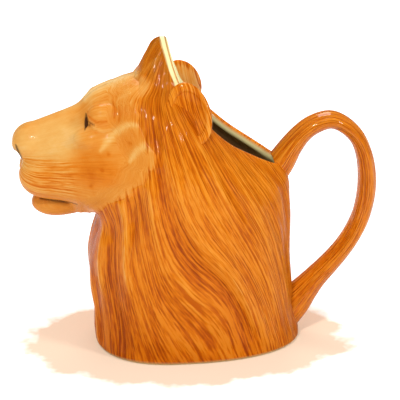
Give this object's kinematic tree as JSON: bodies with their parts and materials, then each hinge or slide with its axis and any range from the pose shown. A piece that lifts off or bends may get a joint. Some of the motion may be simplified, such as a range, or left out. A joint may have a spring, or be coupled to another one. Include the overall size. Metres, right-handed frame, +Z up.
{
  "type": "jug",
  "caption": "Glazed pottery table jug shaped as a lion's head and neck, with a pouring lip behind the brow, a slanted oval mouth and a looped handle at the back.",
  "frame": {"origin": "middle of the foot's footprint, on the surface that the jug stands on", "axes": "+X from the lion's nose towards the handle, +Y towards the lion's right side, +Z up"},
  "size_m": [0.1803, 0.0832, 0.1558],
  "materials": {
    "painted_glaze": "ochre and brown painted fur under a clear gloss glaze, ivory glaze inside",
    "face_glaze": "pale tan painted face under a clear gloss glaze",
    "handle_glaze": "ochre painted fur strokes under a clear gloss glaze",
    "nose_glaze": "tan paint shaded to dark brown at the nostrils, glossy",
    "eye_glaze": "dark brown painted, glossy",
    "foot_glaze": "painted edge over a cream foot"
  },
  "bodies": {
    "root": {"body_casting": "painted_glaze", "base_slab": "foot_glaze", "pouring_lip": "painted_glaze", "lower_jaw": "face_glaze", "nose_pad": "nose_glaze", "left_eye": "eye_glaze", "right_eye": "eye_glaze", "left_ear": "painted_glaze", "right_ear": "painted_glaze", "handle": "handle_glaze"}
  },
  "joints": []
}
